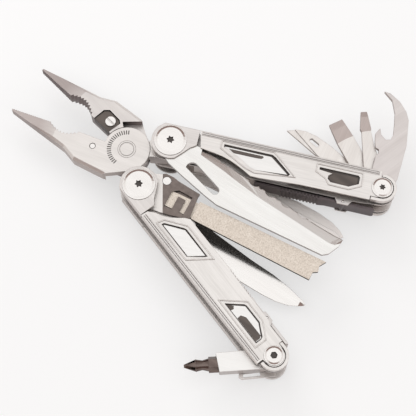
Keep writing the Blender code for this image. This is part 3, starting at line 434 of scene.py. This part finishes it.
FINISH_OF = {
    "jaw_front": "jaw_front", "jaw_rear": "jaw_rear", "plier_rivet": "jaw_front",
    "wire_cutter_front": "dark", "wire_cutter_rear": "dark",
    "serrated_knife": "blade", "plain_knife": "rear_blade",
    "scissors_fixed_blade": "scissors", "scissors_moving_blade": "scissors",
    "awl": "tool", "large_flat_driver": "driver", "medium_flat_driver": "driver", "can_opener": "opener",
    "file": "grit", "file_exchanger": "clip", "phillips_bit": "bit",
    "bit_holder": "plate", "lanyard_loop": "frame_b", "lock_lever_a": "lever", "lock_lever_b": "frame_b",
}
POLISHED = ("pivot_cap", "tail_screw", "pivot_post", "tail_post", "lock_pin", "cutter_screw",
            "scissors_screw", "exchanger_stud")
INNER = ("tail_spacer", "pivot_washer", "lock_lever")


def finish_of(name):
    """Material for a node: its own entry, or the family that its name starts with."""
    if name in FINISH_OF:
        return FINISH_OF[name]
    if name.startswith(POLISHED):
        return "cap"
    if name.startswith(INNER):
        return "inner"
    letter = "a" if "_a" in name else "b"
    return ("frame_" if name.endswith("frame") else "sheet_") + letter


BEVEL_WIDTH = {
    "jaw_front": 0.12, "jaw_rear": 0.12, "bit_holder": 0.3,
    "handle_a_front_scale": 0.28, "handle_a_rear_scale": 0.28,
    "handle_b_front_scale": 0.28, "handle_b_rear_scale": 0.28,
}
PLAIN_BEVEL = 0.1


def soften(obj, width):
    """Weld the import, merge flat faces and round the edges."""
    weld = obj.modifiers.new("weld", "WELD")
    weld.merge_threshold = MICRON
    flat = obj.modifiers.new("flat", "DECIMATE")
    flat.decimate_type = "DISSOLVE"
    flat.angle_limit = math.radians(1.0)
    bevel = obj.modifiers.new("bevel", "BEVEL")
    bevel.width = width
    bevel.segments = 2
    bevel.limit_method = "ANGLE"
    bevel.angle_limit = math.radians(30.0)
    bevel.use_clamp_overlap = True
    bevel.harden_normals = False


def finish_nodes():
    for name, obj in nodes.items():
        obj.data.materials.clear()
        obj.data.materials.append(MATERIALS[finish_of(name)])
        soften(obj, BEVEL_WIDTH.get(name, PLAIN_BEVEL) * MM)


finish_nodes()


# --------------------------------------------------------- added details

def flat_mesh(name, loops, low, high):
    """Closed prism from a filled outline with holes, both as world x, y points."""
    curve = bpy.data.curves.new(name, "CURVE")
    curve.dimensions = "2D"
    curve.fill_mode = "BOTH"
    curve.extrude = (high - low) / 2
    for loop in loops:
        spline = curve.splines.new("POLY")
        spline.points.add(len(loop) - 1)
        for point, place in zip(spline.points, loop):
            point.co = (place[0], place[1], 0.0, 1.0)
        spline.use_cyclic_u = True
    holder = bpy.data.objects.new(name + "_curve", curve)
    bpy.context.scene.collection.objects.link(holder)
    bpy.context.view_layer.update()
    mesh = bpy.data.meshes.new_from_object(holder.evaluated_get(bpy.context.evaluated_depsgraph_get()))
    bpy.data.objects.remove(holder, do_unlink=True)
    bpy.data.curves.remove(curve)
    solid = bmesh.new()
    solid.from_mesh(mesh)
    bmesh.ops.remove_doubles(solid, verts=solid.verts, dist=2 * MICRON)
    bmesh.ops.recalc_face_normals(solid, faces=solid.faces)
    bmesh.ops.translate(solid, verts=solid.verts, vec=(0.0, 0.0, (low + high) / 2))
    solid.to_mesh(mesh)
    solid.free()
    return mesh


def add_piece(name, mesh, body, finish, width=0.0):
    """Link a piece, give it its finish, round its edges and let it ride on a body."""
    mesh.materials.clear()
    mesh.materials.append(MATERIALS[finish])
    obj = bpy.data.objects.new(name, mesh)
    bpy.context.scene.collection.objects.link(obj)
    if width:
        soften(obj, width)
    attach(obj, body)
    return obj


def offset_loop(points, distance):
    """Move a closed outline outwards by a distance, with mitred corners."""
    area = sum(x0 * y1 - x1 * y0 for (x0, y0), (x1, y1) in zip(points, points[1:] + points[:1]))
    sign = 1.0 if area > 0 else -1.0
    moved = []
    count = len(points)
    for index in range(count):
        before, here, after = points[index - 1], points[index], points[(index + 1) % count]
        normals = []
        for (x0, y0), (x1, y1) in ((before, here), (here, after)):
            length = math.dist((x0, y0), (x1, y1))
            normals.append((sign * (y1 - y0) / length, sign * (x0 - x1) / length))
        (ax, ay), (bx, by) = normals
        share = max(0.4, 1.0 + ax * bx + ay * by)
        moved.append((here[0] + distance * (ax + bx) / share, here[1] + distance * (ay + by) / share))
    return moved


SINK = 50 * MICRON
# Window outlines in each handle's own frame, in millimetres.
WINDOWS = {
    "a": [[(24.9, 3.9), (47.8, 3.9), (57.6, -3.8), (41.5, -5.3), (37.5, -4.2), (24.9, 2.4)],
          [(70.2, 3.2), (89.0, 3.2), (89.2, -0.8), (84.8, -3.1), (76.4, -2.9), (74.6, -0.6), (70.2, 1.6)]],
    "b": [[(21.8, 3.3), (22.2, 1.8), (30.2, -4.3), (46.6, -4.3), (41.2, 3.3)],
          [(68.2, 3.0), (74.6, -4.3), (84.4, -4.3), (91.0, -0.8), (91.0, 3.0)]],
}
BEAD_OFFSET = 1.15
BEAD_WIDTH = 0.50
BEAD_HEIGHT = 0.40
SCALE_THICKNESS = 0.8 * MM
# Shift of the bright plate inside its ring of painted shade, which makes the shade wider on one side.
GAP_SHIFT = {"a": Vector((-0.07, -0.30)) * MM, "b": Vector((0.0, 0.0))}
# Outlines of the dark plates of painted shade behind the windows, in each handle's own frame, in
# millimetres.
WINDOW_SLOTS = [
    ("a", [(27.2, 2.5), (43.6, 2.5), (44.0, 1.7), (43.0, 1.0), (40.0, 0.8), (30.0, 0.8)]),
    ("b", [(77.0, 2.4), (76.9, 0.4), (79.1, -1.0), (89.4, -1.0), (90.2, 0.1), (90.2, 2.4)]),
    ("b", [(68.9, 2.5), (71.6, 0.2), (72.8, 1.2), (72.4, 2.5)]),
]
GAP_WIDTH = 0.55
GAP_LEVEL = 40 * MICRON
PLATE_LEVEL = 60 * MICRON
SLOT_LEVEL = 90 * MICRON


def on_face(face, thickness):
    """Low and high z of a piece that stands on the front or rear scale by a thickness."""
    level = SCALE_FACE[face]
    if face == "front":
        return level - SINK, level + thickness
    return level - thickness, level + SINK


def make_window_beads():
    for letter, windows in WINDOWS.items():
        for face in ("front", "rear"):
            low, high = on_face(face, BEAD_HEIGHT * MM)
            for index, window in enumerate(windows):
                outer = [on_handle(letter, x, y) for x, y in offset_loop(window, BEAD_OFFSET + BEAD_WIDTH)]
                inner = [on_handle(letter, x, y) for x, y in offset_loop(window, BEAD_OFFSET)]
                name = "window_bead_%s_%s_%d" % (letter, face, index + 1)
                mesh = flat_mesh(name, [outer, inner[::-1]], low, high)
                add_piece(name, mesh, "handle_" + letter, "sheet_" + letter, 0.16 * MM)


def make_window_floors():
    """Bright plate seen through each window, with a ring of painted shade round it for the shaded gap under
    the scale's edge.
    """
    for letter, windows in WINDOWS.items():
        for face, side in (("front", -1.0), ("rear", 1.0)):
            level = SCALE_FACE[face] + side * SCALE_THICKNESS
            for index, window in enumerate(windows):
                outer = [on_handle(letter, x, y) for x, y in offset_loop(window, 0.1)]
                shrunk = offset_loop(window, -GAP_WIDTH)
                inner = [on_handle(letter, x, y) + GAP_SHIFT[letter] for x, y in shrunk]
                # Handle A's second window gets a dark plate: painted shade.
                finish = "dark" if (letter, index) == ("a", 1) else "plate"
                label = "%s_%s_%d" % (letter, face, index + 1)
                # Ring of painted shade for the shaded gap under the scale's edge.
                gap = flat_mesh("window_gap_shade_" + label, [outer, inner[::-1]],
                                level - GAP_LEVEL, level + GAP_LEVEL)
                add_piece("window_gap_shade_" + label, gap, "handle_" + letter, "ink")
                plate = flat_mesh("window_plate_" + label, [inner],
                                  level - PLATE_LEVEL, level + PLATE_LEVEL)
                add_piece("window_plate_" + label, plate, "handle_" + letter, finish)


def make_window_slots():
    """Painted shade: dark plates in place of the shaded openings in the plates behind the windows."""
    for face, side in (("front", -1.0), ("rear", 1.0)):
        level = SCALE_FACE[face] + side * SCALE_THICKNESS
        for index, (letter, outline) in enumerate(WINDOW_SLOTS):
            name = "window_slot_%s_%d" % (face, index + 1)
            loop = [on_handle(letter, x, y) for x, y in outline]
            slot = flat_mesh(name, [loop], level - SLOT_LEVEL, level + SLOT_LEVEL)
            add_piece(name, slot, "handle_" + letter, "dark")


FOLD_START = 13.6
FOLD_END = 97.6
# Place across the handle, width and height in millimetres, then the finish; the inner rows are strips of
# painted shade in the creases.
FOLD_LINES = ((5.75, 0.34, 0.24, "sheet_"), (6.12, 0.16, 0.05, "inner"), (6.45, 0.50, 0.26, "sheet_"),
              (7.02, 0.14, 0.05, "inner"), (7.34, 0.34, 0.20, "sheet_"))


def make_fold_lines():
    """Pressed ribs with strips of painted shade in the creases between them, along the mouth edge of each
    scale.
    """
    for letter in "ab":
        for face in ("front", "rear"):
            for index, (y, width, height, finish) in enumerate(FOLD_LINES):
                low, high = on_face(face, height * MM)
                corners = ((FOLD_START, y), (FOLD_END, y), (FOLD_END, y + width), (FOLD_START, y + width))
                name = "fold_line_%s_%s_%d" % (letter, face, index + 1)
                mesh = flat_mesh(name, [[on_handle(letter, *corner) for corner in corners]], low, high)
                # Rows that are not ribs are strips of painted shade in the creases.
                rib = finish == "sheet_"
                shade, slot = (finish + letter, "brushed_steel") if rib else (finish, "inner_steel")
                add_piece(name, mesh, "handle_" + letter, shade, 0.06 * MM if rib else 0.0)


def spot(centre, radius, steps, angle=0.0, dip=1.0):
    """Circle, hexagon or lobed star round a world point; dip draws every other point in."""
    points = []
    for index in range(steps):
        reach = radius * (dip if index % 2 else 1.0)
        turn = angle + 2.0 * math.pi * index / steps
        points.append((centre[0] + reach * math.cos(turn), centre[1] + reach * math.sin(turn)))
    return points


RECESS_DEPTH = 0.2 * MM
RECESS_RISE = 0.1 * MM


def make_recess_floors():
    """Painted shade: dark floors in the driver recesses of the caps and tail screws."""
    places = [("pivot_cap_a", "a", TANG["a"], 1.8, 12, 0.62), ("pivot_cap_b", "b", TANG["b"], 1.8, 12, 0.62),
              ("tail_screw_a", "a", TAIL["a"], 1.4, 12, 0.62), ("tail_screw_b", "b", TAIL["b"], 1.5, 6, 1.0)]
    for base, letter, centre, radius, steps, dip in places:
        for face in ("front", "rear"):
            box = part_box("%s_%s" % (base, face))
            if face == "front":
                low, high = box[0][2] + RECESS_DEPTH - SINK, box[0][2] + RECESS_DEPTH + RECESS_RISE
            else:
                low, high = box[1][2] - RECESS_DEPTH - RECESS_RISE, box[1][2] - RECESS_DEPTH + SINK
            loop = spot(centre, radius * MM, steps, HANDLE_ANGLE[letter], dip)
            name = "recess_floor_%s_%s" % (base, face)
            # Painted shade on the recess floor.
            add_piece(name, flat_mesh(name, [loop], low, high), "handle_" + letter, "ink")


TICKS = 21
TICK_START = 118.0
TICK_SWEEP = 145.0
TICK_NEAR = 7.4 * MM
TICK_FAR = 9.4 * MM
TICK_HALF_WIDTH = 0.22 * MM
TICK_RISE = 60 * MICRON


def make_boss_ticks():
    """A plain hatched arc on the front jaw's boss, in place of the maker's wording."""
    loops = []
    for index in range(TICKS):
        turn = math.radians(TICK_START + TICK_SWEEP * index / (TICKS - 1))
        along = Vector((math.cos(turn), math.sin(turn)))
        across = Vector((-along[1], along[0])) * TICK_HALF_WIDTH
        near, far = RIVET + along * TICK_NEAR, RIVET + along * TICK_FAR
        loops.append([near - across, far - across, far + across, near + across])
    mesh = flat_mesh("boss_ticks", loops, JAW_TOP - SINK, JAW_TOP + TICK_RISE)
    add_piece("boss_ticks", mesh, "front_jaw", "ink")


RIBS = 12
RIB_START = 54.6
RIB_PITCH = 1.6
RIB_WIDTH = 0.7
RIB_LOW = -9.4
RIB_HIGH = -8.6
RIB_RISE = 0.25 * MM


def make_lever_ribs():
    """Ribs across the top of each lock lever's grip."""
    for letter, finish in (("a", "ink"), ("b", "frame_b")):
        loops = []
        for index in range(RIBS):
            start = RIB_START + RIB_PITCH * index
            end = start + RIB_WIDTH
            corners = ((start, RIB_LOW), (end, RIB_LOW), (end, RIB_HIGH), (start, RIB_HIGH))
            loops.append([on_handle(letter, *corner) for corner in corners])
        mesh = flat_mesh("lever_ribs_" + letter, loops, LEVER_TOP - SINK, LEVER_TOP + RIB_RISE)
        add_piece("lever_ribs_" + letter, mesh, "lock_lever_" + letter, finish)


make_window_beads()
make_window_floors()
make_window_slots()
make_fold_lines()
make_recess_floors()
make_boss_ticks()
make_lever_ribs()


# --------------------------------------------------------- light, camera

PANEL_TURN = math.radians(30.0)
PANEL_TILT = 0.54


def make_floor():
    mesh = bpy.data.meshes.new("floor")
    solid = bmesh.new()
    bmesh.ops.create_grid(solid, x_segments=1, y_segments=1, size=6.0)
    bmesh.ops.translate(solid, verts=solid.verts, vec=(0.0, 0.0, cad_box[0][2]))
    solid.to_mesh(mesh)
    solid.free()
    floor = bpy.data.objects.new("floor", mesh)
    bpy.context.scene.collection.objects.link(floor)
    material, _, shader = blank("floor_paper")
    shader.inputs["Base Color"].default_value = (0.40, 0.40, 0.40, 1.0)
    shader.inputs["Roughness"].default_value = 0.9
    shader.inputs["Specular IOR Level"].default_value = 0.0
    shader.inputs["Emission Color"].default_value = (1.0, 1.0, 1.0, 1.0)
    shader.inputs["Emission Strength"].default_value = 0.525
    mesh.materials.append(material)


def make_world():
    """White studio, with dark warm panels low down on two opposite sides."""
    world = bpy.data.worlds.new("studio")
    bpy.context.scene.world = world
    world.use_nodes = True
    tree = world.node_tree
    tree.nodes.clear()
    output = add(tree, "ShaderNodeOutputWorld")
    background = add(tree, "ShaderNodeBackground")
    background.inputs["Strength"].default_value = 1.17
    place = add(tree, "ShaderNodeTexCoord")
    split = add(tree, "ShaderNodeSeparateXYZ")
    link(tree, place, "Generated", split, "Vector")
    sky = ramp(tree, split, "Z", [(0.0, (0.55, 0.50, 0.48)), (0.25, (0.66, 0.62, 0.60)),
                                  (0.50, (0.86, 0.84, 0.83)), (0.80, grey(0.97)), (1.0, grey(1.0))])
    side = add(tree, "ShaderNodeVectorMath", operation="DOT_PRODUCT")
    link(tree, place, "Generated", side, 0)
    side.inputs[1].default_value = (math.sin(PANEL_TURN), -math.cos(PANEL_TURN), 0.0)
    size = add(tree, "ShaderNodeMath", operation="ABSOLUTE")
    link(tree, side, "Value", size, 0)
    tilt = add(tree, "ShaderNodeMath", operation="MULTIPLY_ADD")
    link(tree, size, "Value", tilt, 0)
    tilt.inputs[1].default_value = -PANEL_TILT
    link(tree, split, "Z", tilt, 2)
    low = ramp(tree, tilt, "Value", [(0.30, grey(1.0)), (0.62, grey(0.0))])
    facing = ramp(tree, size, "Value", [(0.45, grey(0.0)), (0.66, grey(1.0))])
    panel = add(tree, "ShaderNodeMath", operation="MULTIPLY")
    link(tree, low, "Color", panel, 0)
    link(tree, facing, "Color", panel, 1)
    both, out = mix(tree, "RGBA", (panel, "Value"), (sky, "Color"), (0.27, 0.20, 0.18, 1.0))
    tree.links.new(both.outputs[out], background.inputs["Color"])
    link(tree, background, "Background", output, "Surface")


def area_light(name, place, target, size, power, colour=(1.0, 1.0, 1.0)):
    data = bpy.data.lights.new(name, "AREA")
    data.shape = "RECTANGLE"
    data.size, data.size_y = size
    data.energy = power
    data.color = colour
    lamp = bpy.data.objects.new(name, data)
    bpy.context.scene.collection.objects.link(lamp)
    lamp.location = place
    lamp.visible_glossy = False
    lamp.rotation_euler = (Vector(target) - Vector(place)).to_track_quat("-Z", "Y").to_euler()


ELEVATION = 71.0
AZIMUTH = 33.2
DISTANCE = 0.545
FOCAL_PIXELS = 1200.0
FRAME_PIXELS = 416.0
TARGET = RIVET + Vector((0.0491, -0.0056))


def make_camera():
    data = bpy.data.cameras.new("camera")
    data.sensor_width = 36.0
    data.lens = FOCAL_PIXELS / FRAME_PIXELS * data.sensor_width
    data.clip_start = 0.01
    camera = bpy.data.objects.new("camera", data)
    bpy.context.scene.collection.objects.link(camera)
    turn, rise = math.radians(AZIMUTH), math.radians(ELEVATION)
    target = Vector((TARGET[0], TARGET[1], TOP))
    away = Vector((math.sin(turn) * math.cos(rise), -math.cos(turn) * math.cos(rise), math.sin(rise)))
    camera.location = target + DISTANCE * away
    camera.rotation_euler = (-away).to_track_quat("-Z", "Y").to_euler()
    bpy.context.scene.camera = camera


def make_lights():
    area_light("key", (-0.60, 0.40, 0.50), (0.0, 0.0, 0.0), (0.6, 0.4), 2.8)
    area_light("fill", (0.60, -0.20, 0.45), (0.0, 0.0, 0.0), (0.4, 0.4), 0.5, (1.0, 0.97, 0.94))


make_floor()
make_world()
make_lights()
make_camera()
bpy.context.scene.view_settings.view_transform = "Standard"
